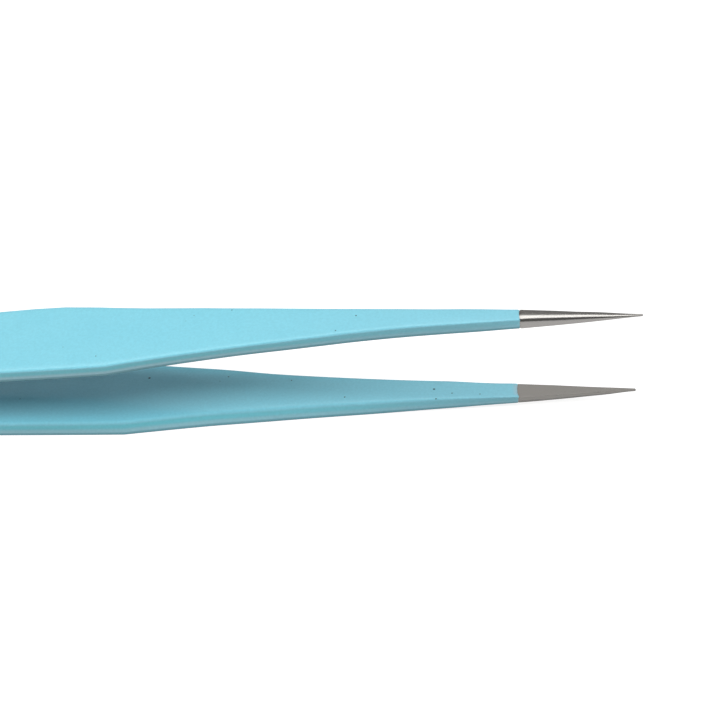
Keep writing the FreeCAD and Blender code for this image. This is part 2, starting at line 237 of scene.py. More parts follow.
def cutCorner(corner, before, after, radius, cut, count):
    # A rounded corner as far as it is above the cut, with its columns spread over what is left
    fine = np.linspace(0, 1, 400)
    curve = roundCorner(corner, before, after, radius, fine)
    inside = curve[:, :, 1] > cut
    whole = inside.all(1)
    reached = np.where(whole, 1.0, fine[np.argmin(inside, axis=1)])
    place = np.linspace(0, 1, count)[None, :] * reached[:, None] * (len(fine) - 1)
    low = np.clip(place.astype(int), 0, len(fine) - 2)
    part = (place - low)[:, :, None]
    row = np.arange(len(corner))[:, None]
    drawn = curve[row, low] * (1 - part) + curve[row, low + 1] * part
    drawn[~whole, -1, 1] = cut[~whole, 0]
    return drawn


def halfPlan(side, arm, rows, layer):
    # The plan of one half of a blade, row by row: the place along the blade, the point on the side at the
    # layer's distance and its outward normal, and the way from there in to the blade's middle.
    points, normals = sideRows(side, rows)
    fan = np.arange(len(points)) < rows["fan"]
    station = np.maximum(points[:, 0], 0.0)
    station[fan] = np.minimum(station[fan], blade["tailSpoke"])
    s = blade["length"] - station
    grown = byDistance(groundWider[arm], s)
    if side > 0:
        grown = grown + byDistance(farTrim[arm], s)
    points = points + normals * (layer + grown)[:, None]
    room = blade["half"] + blade["coat"] - blade["margin"]
    coated = layer > blade["coat"] / 2
    points[:, 1] = np.minimum(points[:, 1], np.where(coated, room, room - blade["coat"]))
    inward = np.stack([np.maximum(station, blade["tailSpoke"]), np.zeros_like(station)], 1) - points
    inward[~fan, 0] = 0.0
    return station, points, normals, inward


def bladeHalf(side, arm, rows, skin):
    # One half of a blade's skin, a grid of rows along the blade by columns round it, from the middle of the
    # outer face over the side to the middle of the inner face. A section is a four-sided figure that leans
    # with the slant of the sides, its corners rounded, and is cut off at the plane between the blades, where
    # the two skins are joined. In skin, layer is the distance outside the steel, under the one below its
    # inner face, and flatter what the outer face lacks.
    columns, under = skin["columns"], skin["under"]
    station, points, normals, inward = halfPlan(side, arm, rows, skin["layer"])
    s = blade["length"] - station
    depth = np.linalg.norm(inward, axis=1)
    inward = inward / depth[:, None]
    outer = byDistance(thickness[arm], s) + skin["layer"] - skin["flatter"] - hollowAt(s)
    height, angle = innerLine(station)
    cut = (-height / np.cos(angle))[:, None]

    outerCorner = np.stack([np.zeros_like(outer), outer], 1)
    innerCorner = np.stack([byDistance(innerStandsOut[arm], s), -under], 1)
    down = (innerCorner - outerCorner) / np.linalg.norm(innerCorner - outerCorner, axis=1)[:, None]
    out = np.tile([1.0, 0.0], (len(s), 1))
    most = np.minimum(roundest["height"] * (outer + under), roundest["depth"] * depth)
    edge, innerEdge = np.minimum(skin["edge"], most), np.minimum(skin["innerEdge"], most)
    first = roundCorner(outerCorner, out, down, edge, np.linspace(0, 1, columns["edge"]))
    second = cutCorner(innerCorner, down, -out, innerEdge, cut, columns["edge"])
    blend = np.linspace(0, 1, columns["side"] + 2)[1:-1][None, :, None]
    wall = first[:, -1:] * (1 - blend) + second[:, :1] * blend
    run = np.linspace(0, 1, columns["face"])[None, :, None]
    centreTop = np.stack([-depth, outer], 1)[:, None]
    centreBottom = np.stack([-depth, np.maximum(-under, cut[:, 0])], 1)[:, None]
    top = centreTop * (1 - run) + first[:, :1] * run
    bottom = second[:, -1:] * (1 - run) + centreBottom * run
    bottom[:, :, 1] = np.maximum(bottom[:, :, 1], cut)
    section = np.concatenate([top, first[:, 1:], wall, second, bottom[:, 1:]], 1)

    # the outer face is slightly crowned, and on the needle it is nearly half round
    across = np.clip(1 + section[:, :, 0] / depth[:, None], 0, 1)
    upper = np.clip((section[:, :, 1] + under[:, None]) / (outer + under)[:, None] * 2 - 1, 0, 1)
    section[:, :, 1] += byDistance(skin["crown"], s)[:, None] * (1 - across ** 2) * upper

    # outward of the outline the section follows its normal, inward its spoke
    beyond = np.maximum(section[:, :, 0], 0)
    within = np.minimum(section[:, :, 0], 0)
    planX = points[:, None, 0] - within * inward[:, None, 0] + beyond * normals[:, None, 0]
    planY = points[:, None, 1] - within * inward[:, None, 1] + beyond * normals[:, None, 1]
    ahead = planX - station[:, None]
    slope, level = angle[:, None], height[:, None]
    x = station[:, None] + ahead * np.cos(slope) - section[:, :, 1] * np.sin(slope)
    z = level + ahead * np.sin(slope) + section[:, :, 1] * np.cos(slope)
    flat = rows["fan"] + np.searchsorted(rows["x"], blade["weld"])
    z[:flat] = level[:flat] + section[:flat, :, 1]
    z = np.where(z < planeReach, 0.0, z)
    return np.stack([x, side * planY, arm * z], 2)


def laidDown(points):
    # From the plane between the blades to the row frame: turned up at the points by the grip's angle,
    # lifted until the lower grip's outside is at z = 0, and moved to put the middle of the length at x = 0.
    sine, cosine = math.sin(blade["gripAngle"]), math.cos(blade["gripAngle"])
    outside = blade["steel"] + blade["coat"]
    lift = blade["opening"] / 2 * cosine - blade["length"] * sine + outside
    front = blade["length"] * cosine + (blade["opening"] / 2 + thickness[1][0]) * sine
    rear = (blade["edge"] - blade["coat"]) * cosine - blade["edge"] - (outside - blade["edge"]) * sine
    x, y, z = points[..., 0], points[..., 1], points[..., 2]
    rowX = x * cosine - z * sine - (front + rear) / 2
    return np.stack([rowX, y, x * sine + z * cosine + lift], -1) * millimetre


def ringed(near, far):
    # The grid all round a blade: down the far half's columns, then back up the near half's
    return np.concatenate([far, near[:, -2:0:-1]], 1)


def allRound(band):
    # One value a column of a half, repeated for the other half
    return np.concatenate([band, band[-2:0:-1]])


def columnPlaces(columns):
    # Which columns of a half the wall starts and ends at and the inner face starts at, and how many there are
    wallStart = columns["face"] + columns["edge"] - 2
    wallEnd = wallStart + columns["side"] + 1
    innerStart = wallEnd + columns["edge"] - 1
    return wallStart, wallEnd, innerStart, innerStart + columns["face"]


def ringFaces(rowCount, ringCount, skip=None):
    # Quads between each row and the next, and between each column and the next one round the ring.
    # Skip is a table of the quads to leave out.
    row, column = np.meshgrid(np.arange(rowCount - 1), np.arange(ringCount), indexing="ij")
    after = (column + 1) % ringCount
    quads = np.stack([row * ringCount + column, (row + 1) * ringCount + column,
                      (row + 1) * ringCount + after, row * ringCount + after], -1)
    return quads.reshape(-1, 4) if skip is None else quads[~skip]


def newMesh(name, points, faces):
    mesh = bpy.data.meshes.new(name)
    mesh.from_pydata(points.tolist(), [], faces.tolist())
    return mesh


def placed(name, data):
    # A new object in the scene
    made = bpy.data.objects.new(name, data)
    bpy.context.scene.collection.objects.link(made)
    return made


closing = {"merge": 2e-8, "flat": 1e-9}     # in metres: points nearer than this are one, and slivers go


def closeUp(piece):
    # Merges doubled points, turns the faces outwards and counts the edges that don't join two faces
    work = bmesh.new()
    work.from_mesh(piece.data)
    bmesh.ops.remove_doubles(work, verts=work.verts, dist=closing["merge"])
    bmesh.ops.dissolve_degenerate(work, edges=work.edges, dist=closing["flat"])
    bmesh.ops.recalc_face_normals(work, faces=work.faces)
    loose = [edge for edge in work.edges if len(edge.link_faces) != 2]
    print(piece.name, "has", len(loose), "open or crowded edges")
    work.to_mesh(piece.data)
    work.free()
    piece.data.polygons.foreach_set("use_smooth", np.ones(len(piece.data.polygons), bool))


def pieceFrom(name, points, faces, marks, material, slotName, *replaced):
    # A closed piece from points in the row frame, quads and a table of marks with one value a point
    mesh = newMesh(name, points, faces)
    for mark, values in marks.items():
        mesh.attributes.new(mark, "FLOAT", "POINT").data.foreach_set("value", values.astype(np.float32))
    piece = placed(name, mesh)
    closeUp(piece)
    mesh.materials.append(material)
    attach(piece, "root")
    if replaced:
        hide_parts(*replaced)
    print(name, "made with", len(mesh.polygons), "faces")
    return piece


# The epoxy: one skin over both blades, with an inner wall on the steel and a thin rounded lip at the points
coatShape = {
    "columns": {"face": 9, "edge": 8, "side": 7},
    "fanRows": 26,                      # rows round the tail
    "rowStep": 0.4,
    "wallStep": 1.2,                    # between rows of the wall on the steel
    "wallGap": 1.0,                     # least distance of the last but one from the end
    "wallEdge": 0.03,                   # radius of its edges
    "lip": 0.16,                        # over this length the skin thins to its end
    "lipRows": 7,
    "edge": {12.4: 0.11, 20: 0.18, 30: 0.27},   # radius of its upper edges
    "underEdge": {12.4: 0.11, 20: 0.15, 30: 0.17, 50: 0.14, 58: 0.08},  # and of those on the floor's side
    "crown": {0: 0.0, 12.4: 0.008, 20: 0.025, 30: 0.0},
    "overlap": 0.05,                    # how far it runs past the bare length
    "hollowEnd": 0.1,                   # how far its end draws back on the lower blade's inner face
    "ragged": 0.025,                    # how unevenly it ends
    # that is made of waves: their height, number round the end, phase, and the arm's part in the phase
    "waves": [(0.5, 5, 1, 1), (0.35, 11, 0, 2), (0.25, 17, 4, 0)],
    "unevenFrom": (1.6, 0.2),           # from here to here before the end the rows come to follow it
}
# Tints of the coat, most of them painted light and shade. The bands go by the share of the way down the
# side's wall, on the upper blade (1) and the lower one (-1), and the rest by the distance from the tail.
coatTints = {
    "bands": {
        # painted tint of the shaded band under the sides' upper edge
        "sideShadeTint": {"down": [-0.05, 0.1, 0.4, 0.6], 1: [0, 1, 1, 0], -1: [0, 1, 1, 0], "atPoints": 0.25},
        # painted pale reflection of the floor along the sides' lower half
        "sideSheen": {"down": [0.35, 0.62, 0.85, 1.1], 1: [0, 1, 0.8, 0], -1: [0, 1, 0.8, 0], "atPoints": 0.35},
        # painted shade along the bottom edges, and on the lower blade a little all the way down the side
        "bottomShade": {"down": [-0.05, 0.1, 0.78, 0.92, 2.0, 2.1], 1: [0, 0, 0, 0.85, 0.85, 0],
                   -1: [0, 0.1, 0.1, 0.85, 0.85, 0], "atPoints": 1.0},
    },
    "bandX": [22, 46, 74, 102],         # they are weak up to the first, full from the second to the third
    "atTail": 0.25,                     # and atPoints from the last
    "innerFace": ([1.9, 2.15], [0, 1]), # the inner face starts here, by the same share
    "depth": ([54, 80], [0.9, 0]),      # painted shade in the depth between the blades
    "farSide": ([56, 74, 104], [0, 0.45, 0.1]),     # further out, beyond the middle
    "farGrowth": (0.5, 0.7),            # in the middle, and its growth from there to the far edge
    "lipHighlight": (0.45, 0.2),                 # painted highlight on the lip from here to here before the coat's end
}


def touchingFaces(grid):
    # Quads that lie on the plane between the blades, where the other blade's skin meets them
    flat = grid[:, :, 2] == 0
    after = np.roll(flat, -1, 1)
    return flat[:-1] & flat[1:] & after[:-1] & after[1:]


def fromMiddle(grid):
    # -1 at the near side, 1 at the far side
    return grid[:, :, 1] / np.maximum(np.abs(grid[:, :, 1]).max(1, keepdims=True), 0.01)


def coatSkin(arm, layerEnd, rowX):
    # The skin of one blade at a layer outside the steel. Towards the points it thins along a quarter round.
    shape = coatShape
    columns = shape["columns"]
    rows = {"fan": shape["fanRows"], "x": rowX}
    end = blade["length"] - blade["bare"]
    x = np.concatenate([np.zeros(shape["fanRows"]), rowX])
    s = blade["length"] - x
    u = np.clip((x - (end - shape["lip"])) / shape["lip"], 0, 1)
    layer = layerEnd * np.sqrt(1 - u ** 2)
    edge = innerEdge = np.full(len(x), shape["wallEdge"])
    if layerEnd:
        edge = byDistance(shape["edge" if arm > 0 else "underEdge"], s)
        innerEdge = byDistance(shape["edge"], s)
    skin = {"layer": layer, "under": layer, "edge": edge, "innerEdge": innerEdge, "flatter": 0,
            "columns": columns, "crown": shape["crown"]}
    ring = ringed(*(bladeHalf(side, arm, rows, skin) for side in (-1, 1)))
    # the end is drawn back in the middle of the lower inner face, and wavers a little all round
    turn = np.linspace(0, 2 * math.pi, ring.shape[1], endpoint=False)
    waver = shape["ragged"] * sum(height * np.sin(count * turn + phase + part * arm)
                                  for height, count, phase, part in shape["waves"])
    innerStart = columnPlaces(columns)[2]
    inner = np.zeros(ring.shape[1])
    inner[innerStart:ring.shape[1] - innerStart] = 1.0 if arm < 0 else 0.0
    drawn = -shape["hollowEnd"] * (1 - fromMiddle(ring) ** 2) * inner
    start, full = shape["unevenFrom"]
    near = np.clip((x - (end - start)) / (start - full), 0, 1)[:, None]
    ring[:, :, 0] += near * (waver + drawn + shape["overlap"])
    return ring


def tintsOf(arm, grid):
    # How strongly each tint shows at each point. Down the sides a painted tint of the shaded band lies under
    # the upper edge, a painted pale reflection below that, and painted shade at the bottom; on the lower
    # blade a little all the way down.
    # Its inner faces get painted shade in the depth and on the far side, and the lower one a painted
    # highlight at its lip.
    tints = coatTints
    wallStart, wallEnd, _, count = columnPlaces(coatShape["columns"])
    share = (np.arange(count) - wallStart) / (wallEnd - wallStart)
    lower = share if arm > 0 else 1 - share
    x, across = grid[:, :, 0], fromMiddle(grid)
    found = {}
    for name, band in tints["bands"].items():
        strength = np.interp(x, tints["bandX"], [tints["atTail"], 1, 1, band["atPoints"]])
        found[name] = strength * allRound(np.interp(lower, band["down"], band[arm]))
    innerFace = allRound(np.interp(share, *tints["innerFace"]))
    middle, growth = tints["farGrowth"]
    beyond = np.interp(x, *tints["farSide"]) * np.clip(middle + growth * across, 0, 1)
    across = np.abs(across)
    # painted shade between the blades and on the far side of the inner faces
    found["gapShade"] = (np.interp(x, *tints["depth"]) * (1 - across ** 3) + beyond) * innerFace
    end = blade["length"] - blade["bare"]
    # painted highlight on the lower blade's lip where the coat ends
    lipHighlight = np.interp(x, [end - tints["lipHighlight"][0], end - tints["lipHighlight"][1]], [0, 1 if arm < 0 else 0])
    found["lipHighlight"] = lipHighlight * (1 - across ** 4) * innerFace
    return found


def buildCoat(material):
    shape = coatShape
    start, end = blade["tailSpoke"], blade["length"] - blade["bare"]
    lipTurn = np.linspace(0, math.pi / 2, shape["lipRows"])
    outerX = np.concatenate([np.arange(start + shape["rowStep"], end - shape["lip"], shape["rowStep"]),
                             end - shape["lip"] * (1 - np.sin(lipTurn))])
    innerX = np.concatenate([np.arange(start + shape["wallStep"], end - shape["wallGap"], shape["wallStep"]),
                             [end]])
    points, faces, marks, first = [], [], {}, 0
    for arm in (1, -1):
        outer = coatSkin(arm, blade["coat"], outerX)
        inner = coatSkin(arm, 0, innerX)
        ringCount = outer.shape[1]
        for grid in (outer, inner):
            faces.append(first + ringFaces(grid.shape[0], ringCount, touchingFaces(grid)))
            points.append(grid.reshape(-1, 3))
            first += grid.shape[0] * ringCount
            for name, values in tintsOf(arm, grid).items():
                marks.setdefault(name, []).append(values.ravel())
        # the lip joins the outer skin's last ring to the inner wall's
        lastInner = first - ringCount + np.arange(ringCount)
        lastOuter = lastInner - inner.shape[0] * ringCount
        faces.append(np.stack([lastOuter, lastInner, np.roll(lastInner, -1), np.roll(lastOuter, -1)], 1))
    marks = {name: np.concatenate(parts) for name, parts in marks.items()}
    return pieceFrom("epoxyCoat", laidDown(np.concatenate(points)), np.concatenate(faces), marks, material,
                     "blue_epoxy", "coating")


# The steel blades: whole from the tail to the points, bare at the needle
steelShape = {
    "columns": {"face": 9, "edge": 7, "side": 3},
    "fanRows": 12,                      # rows round the tail
    "rowStep": 1.5,
    "clearance": 0.004,                 # under the epoxy
    "step": 12.52,                      # how far behind the points it steps down under the epoxy
    "stepHalf": 0.02,                   # half the length of that step
    "stepGap": 0.3,                     # least distance of the rows behind it
    "bareRows": 90,
    # how far it fills out to the epoxy, and how much less it does so on the outer face
    "proud": {0: 0.0, 4: 0.03, 12.27: 0.09, 12.62: -0.004, 120: -0.004},
    "flatter": {1: {0: 0.0, 4: 0.03, 12.27: 0.12, 12.62: 0.0, 120: 0.0},
                -1: {0: 0.0, 12.27: 0.01, 12.62: 0.0, 120: 0.0}},
    "edge": {1: {0: 0.03, 0.5: 0.04, 12.42: 0.17, 12.62: 0.05, 120: 0.05},
             -1: {0: 0.03, 0.5: 0.04, 12.42: 0.09, 12.62: 0.05, 120: 0.05}},
    "innerEdge": 0.015,                 # the ground inner face has sharp edges
    "crown": {0: 0.01, 1: 0.03, 12.42: 0.12, 12.72: 0.03, 20: 0.03, 30: 0.0},
    "nose": 0.12,                       # the point's end is rounded over this length
    "noseRows": 7,
    # strength of the painted shade line, which stands for a dark reflection, from the upper edge's first
    # column to the inner face: faint above the upper blade's side, and broad along the bottom of the lower
    # one's
    "edgeShade": {1: [0, 0.3, 0.3, 0, 0, 0, 0], -1: [0, 1, 1, 1, 0.1, 0.02, 0]},
    "lipShadow": ([12.2, 12.4], [0, 0.6]),  # painted shadow of the epoxy's end, by distance from the point
}


def buildBlade(name, arm, material, *replaced):
    shape, columns = steelShape, steelShape["columns"]
    end = blade["length"]
    neck, noseStart = end - shape["step"], end - shape["nose"]
    noseTurn = np.linspace(0, math.pi / 2, shape["noseRows"])[1:]
    rowX = np.concatenate([
        np.arange(blade["tailSpoke"] + shape["rowStep"], neck - shape["stepGap"], shape["rowStep"]),
        [neck - shape["stepHalf"]], np.linspace(neck + shape["stepHalf"], noseStart, shape["bareRows"]),
        end - shape["nose"] * (1 - np.sin(noseTurn))])
    rows = {"fan": shape["fanRows"], "x": rowX}
    x = np.concatenate([np.zeros(shape["fanRows"]), rowX])
    s = end - x
    skin = {"layer": byDistance(shape["proud"], s), "under": np.where(x < neck, -shape["clearance"], 0.0),
            "edge": byDistance(shape["edge"][arm], s), "innerEdge": np.full(len(x), shape["innerEdge"]),
            "flatter": byDistance(shape["flatter"][arm], s), "columns": columns, "crown": shape["crown"]}
    ring = ringed(*(bladeHalf(side, arm, rows, skin) for side in (-1, 1)))
    # the nose: the last rings close in on the point's own middle along a quarter round
    closeIn = np.sqrt(1 - np.clip((x - noseStart) / shape["nose"], 0, 1) ** 2)
    middle = ring.mean(1, keepdims=True)
    ring = middle + (ring - middle) * closeIn[:, None, None]
    # marks for the steel's looks, by the column and, for the painted shadow at the epoxy's end, by the row
    wallStart, _, innerStart, count = columnPlaces(columns)
    column = allRound(np.arange(count))
    edgeStart = columns["face"] - 1
    edgePlaces = [edgeStart, edgeStart + 2, wallStart, wallStart + 1, wallStart + 2, innerStart,
                  innerStart + 1]
    byColumn = {
        "ground": (column > (innerStart if arm > 0 else wallStart + 1)).astype(float),
        "wall": np.interp(column, [wallStart - 1, wallStart, innerStart, innerStart + 1], [0, 1, 1, 0]),
        # painted shade along the edge line
        "edge": np.interp(column, edgePlaces, shape["edgeShade"][arm]),
    }
    marks = {mark: np.tile(strength, len(x)) for mark, strength in byColumn.items()}
    marks["lipShadow"] = np.repeat(np.interp(s, *shape["lipShadow"]), len(column))
    return pieceFrom(name, laidDown(ring.reshape(-1, 3)), ringFaces(ring.shape[0], ring.shape[1]), marks,
                     material, "bare_steel", *replaced)


# Dust in the epoxy: dark lens-shaped grains, some where they show and some strewn about
grains = {
    "rings": 4,
    "round": 12,
    "rise": 0.22,                       # height over radius
    "sunk": 0.15,                       # and depth in the epoxy over radius
    # distance from the tail, distance from the middle and radius
    "outerFace": [(64.81, -3.13, 0.065), (78.26, 2.62, 0.07), (74.35, 2.12, 0.05), (91.11, 0.70, 0.10),
                  (89.08, -1.36, 0.08), (61.19, -1.52, 0.05), (73.59, 1.35, 0.04)],
    "innerFace": [(68.41, 2.01, 0.14), (98.78, 0.13, 0.13), (98.96, -1.28, 0.09), (89.36, -0.93, 0.09),
                  (83.64, 1.59, 0.08), (76.87, 2.17, 0.09), (55.01, -1.04, 0.06), (100.66, -0.48, 0.08),
                  (103.59, -0.64, 0.07), (76.01, 1.50, 0.05)],
    "strewn": 16,                       # on the lower blade's outer face, where that is off the floor:
    "nearTail": (8, 33),                # between these distances from the tail,
    "nearPoints": (95, 105),            # and every third one here
    "strewnRadius": (0.035, 0.075),
    "strewnWidth": 0.6,                 # share of the half width that they lie in
    "halfWidth": {12: 0.9, 20: 1.3, 44: 3.3, 60: 4.6, 120: 3.4},    # by distance from the points
    "seed": 7,
}


def faceHeight(x, arm, outer):
    # Height of the epoxy's outer or inner face above the plane between the blades: the inner line and the
    # layers outside it, which stand square to the slope
    height, angle = innerLine(x)
    s = blade["length"] - x
    off = byDistance(thickness[arm], s) + blade["coat"] - hollowAt(s) if outer else -blade["coat"]
    return height + off / np.cos(angle)


def buildGrains(material):
    rng = np.random.default_rng(grains["seed"])
    strewnX = rng.uniform(*grains["nearTail"], grains["strewn"])
    strewnX[::3] = rng.uniform(*grains["nearPoints"], len(strewnX[::3]))
    halfWidth = byDistance(grains["halfWidth"], blade["length"] - strewnX)
    strewnY = rng.uniform(-grains["strewnWidth"], grains["strewnWidth"], grains["strewn"]) * halfWidth
    strewnR = rng.uniform(*grains["strewnRadius"], grains["strewn"])
    upper = [(x, y, r, 1, True) for x, y, r in grains["outerFace"]]
    lower = [(x, y, r, -1, False) for x, y, r in grains["innerFace"]]
    under = [(x, y, r, -1, True) for x, y, r in zip(strewnX, strewnY, strewnR)]
    # each grain is a dome over a circle: its height falls as the square of the distance from its middle
    out = np.linspace(0, 1, grains["rings"] + 1)[:, None]
    turn = np.linspace(0, 2 * math.pi, grains["round"], endpoint=False)[None]
    domeX, domeY = out * np.cos(turn), out * np.sin(turn)
    domeZ = np.repeat(grains["rise"] * (1 - out ** 2), grains["round"], 1)
    gridX, gridY = np.concatenate([domeX, domeX[::-1]]), np.concatenate([domeY, domeY[::-1]])
    gridZ = np.concatenate([domeZ, np.full_like(domeZ, -grains["sunk"])])
    points, faces = [], []
    for number, (x, y, radius, arm, outer) in enumerate(upper + lower + under):
        ground = faceHeight(np.array([x]), arm, outer)[0]
        slope = innerLine(np.array([x]))[1][0]
        away = 1 if outer else -1
        grainX = x + gridX * radius
        grainZ = ground + (grainX - x) * math.tan(slope) + away * gridZ * radius
        points.append(np.stack([grainX, y + gridY * radius, arm * grainZ], 2).reshape(-1, 3))
        faces.append(ringFaces(gridX.shape[0], grains["round"]) + number * gridX.size)
    return pieceFrom("coatGrains", laidDown(np.concatenate(points)), np.concatenate(faces), {}, material,
                     "blue_epoxy")


def node(tree, kind, **settings):
    # Settings that the node has as attributes are set there, and the others on its inputs of that name
    made = tree.nodes.new(kind)
    for name, value in settings.items():
        if hasattr(made, name):
            setattr(made, name, value)
        else:
            made.inputs[name.replace("_", " ")].default_value = value
    return made


def newMaterial(name):
    # A material, its node tree and the socket that its shader goes to
    material = bpy.data.materials.new(name)
    material.use_nodes = True
    tree = material.node_tree
    tree.nodes.clear()
    return material, tree, node(tree, "ShaderNodeOutputMaterial").inputs["Surface"]


def joinUp(tree, *pairs):
    for source, target in pairs:
        tree.links.new(source, target)


def noiseOf(tree, scale, detail, mapping=(1, 1, 1), roughness=0.5):
    # Noise on the object's own coordinates, finer or longer along each axis by the mapping
    place = node(tree, "ShaderNodeTexCoord")
    moved = node(tree, "ShaderNodeMapping", Scale=mapping)
    noise = node(tree, "ShaderNodeTexNoise", Scale=scale, Detail=detail, Roughness=roughness)
    joinUp(tree, (place.outputs["Object"], moved.inputs["Vector"]),
           (moved.outputs["Vector"], noise.inputs["Vector"]))
    return noise.outputs["Fac"]


def ranged(tree, source, low, high, fromLow=0.3, fromHigh=0.7):
    # The source's values between fromLow and fromHigh, where most of a noise's are, spread from low to high
    reach = node(tree, "ShaderNodeMapRange")
    for name, value in (("From Min", fromLow), ("From Max", fromHigh), ("To Min", low), ("To Max", high)):
        reach.inputs[name].default_value = value
    joinUp(tree, (source, reach.inputs["Value"]))
    return reach.outputs["Result"]


def blended(tree, amount, first, second):
    # From a fixed colour, or one that other nodes make, towards a fixed one
    mix = node(tree, "ShaderNodeMix", data_type="RGBA")
    mix.inputs[7].default_value = (*second, 1)
    joinUp(tree, (amount, mix.inputs[0]))
    if isinstance(first, tuple):
        mix.inputs[6].default_value = (*first, 1)
    else:
        joinUp(tree, (first, mix.inputs[6]))
    return mix.outputs[2]


epoxyFinish = {
    "colour": (0.247, 0.664, 0.792),
    "mottle": (0.236, 0.650, 0.782),    # soft clouds a few millimetres wide
    "pointwardTone": (0.247, 0.610, 0.735),   # darker towards the points,
    "pointwardToneX": (0.018, 0.046),         # from the first to the second of these x in the row frame, in metres
    "sideShadeTint": (0.170, 0.690, 0.800),     # painted tint of the shaded band along the upper half of the sides
    "sideSheen": (0.350, 0.700, 0.800),    # painted pale reflection along their lower half
    "bottomShade": (0.080, 0.290, 0.360),    # painted shade along the bottom edges
    "gapShade": (0.245, 0.540, 0.640),      # painted shade between the blades
    "lipHighlight": (0.340, 0.560, 0.650),       # painted highlight on the lip where it ends on the lower blade's inner face
    "speckle": 0.035,                   # how much its fine grain varies in brightness
    "roughness": (0.16, 0.22),
    "peel": (0.35, 0.012),              # strength and height, in millimetres, of the orange peel
    "grain": (0.25, 0.0036),            # and of the finer grain on it
    # scale and detail of each noise, and how it is stretched
    "noise": {"clouds": (260, 3), "speckle": (3600, 2), "rough": (900, 4), "peel": (750, 1.5, (0.6, 1, 1)),
              "grain": (4200, 2)},
}


def bumpOf(tree, strength, depth, height):
    bump = node(tree, "ShaderNodeBump", Strength=strength, Distance=depth * millimetre)
    joinUp(tree, (height, bump.inputs["Height"]))
    return bump


def epoxyMaterial():
    finish = epoxyFinish
    material, tree, surface = newMaterial("blueEpoxy")
    noise = {name: noiseOf(tree, *settings) for name, settings in finish["noise"].items()}
    shader = node(tree, "ShaderNodeBsdfPrincipled", IOR=1.5)
    colour = blended(tree, ranged(tree, noise["clouds"], 0, 1), finish["colour"], finish["mottle"])
    place = node(tree, "ShaderNodeTexCoord")
    split = node(tree, "ShaderNodeSeparateXYZ")
    joinUp(tree, (place.outputs["Object"], split.inputs["Vector"]))
    # darker towards the points
    towards = ranged(tree, split.outputs["X"], 0, 1, *finish["pointwardToneX"])
    colour = blended(tree, towards, colour, finish["pointwardTone"])
    # painted shade, reflection and highlight, laid on by the marks
    for mark in ("sideShadeTint", "sideSheen", "bottomShade", "gapShade", "lipHighlight"):
        band = node(tree, "ShaderNodeAttribute", attribute_name=mark)
        colour = blended(tree, band.outputs["Fac"], colour, finish[mark])
    speckle = ranged(tree, noise["speckle"], 1 - finish["speckle"], 1 + finish["speckle"])
    grained = node(tree, "ShaderNodeHueSaturation")
    rough = ranged(tree, noise["rough"], *finish["roughness"])
    peel = bumpOf(tree, *finish["peel"], noise["peel"])
    grain = bumpOf(tree, *finish["grain"], noise["grain"])
    joinUp(tree, (colour, grained.inputs["Color"]), (speckle, grained.inputs["Value"]),
           (grained.outputs["Color"], shader.inputs["Base Color"]), (rough, shader.inputs["Roughness"]),
           (peel.outputs["Normal"], grain.inputs["Normal"]),
           (grain.outputs["Normal"], shader.inputs["Normal"]), (shader.outputs["BSDF"], surface))
    return material


grainFinish = {
    "colour": (0.035, 0.12, 0.15),
    "paler": (0.06, 0.19, 0.23),
    "roughness": 0.5,
    "noise": (9000, 2),
}


def grainMaterial():
    finish = grainFinish
    material, tree, surface = newMaterial("darkGrain")
    shader = node(tree, "ShaderNodeBsdfPrincipled", Roughness=finish["roughness"])
    cloud = ranged(tree, noiseOf(tree, *finish["noise"]), 0, 1)
    colour = blended(tree, cloud, finish["colour"], finish["paler"])
    joinUp(tree, (colour, shader.inputs["Base Color"]), (shader.outputs["BSDF"], surface))
    return material


steelFinish = {
    "colour": (0.47, 0.455, 0.435),
    "dull": (0.40, 0.39, 0.37),
    "wall": (0.295, 0.285, 0.275),      # the sides are duller
    "ground": (0.233, 0.223, 0.208),    # and so is the inner face
    "edge": (0.110, 0.107, 0.102),      # painted shade: dark line between the sides and the round outside
    "lipShadow": (0.22, 0.21, 0.19),        # painted shadow where the epoxy ends
    "outerRoughness": (0.16, 0.24),
    "innerRoughness": (0.36, 0.44),
    "strength": 0.92,                   # of the marks that the grinding lines don't break up
    "streaks": (0.55, 1.0),             # and of the painted edge shade, which they do
    "lines": (0.5, 0.007),              # strength and depth, in millimetres, of the grinding lines
    "pores": (0.35, 0.0028),            # and of the pores
    "noise": {"lines": (4600, 4, (0.3, 1.5, 1.5), 0.6), "pores": (14000, 3, (0.6, 1, 1), 0.6)},
}


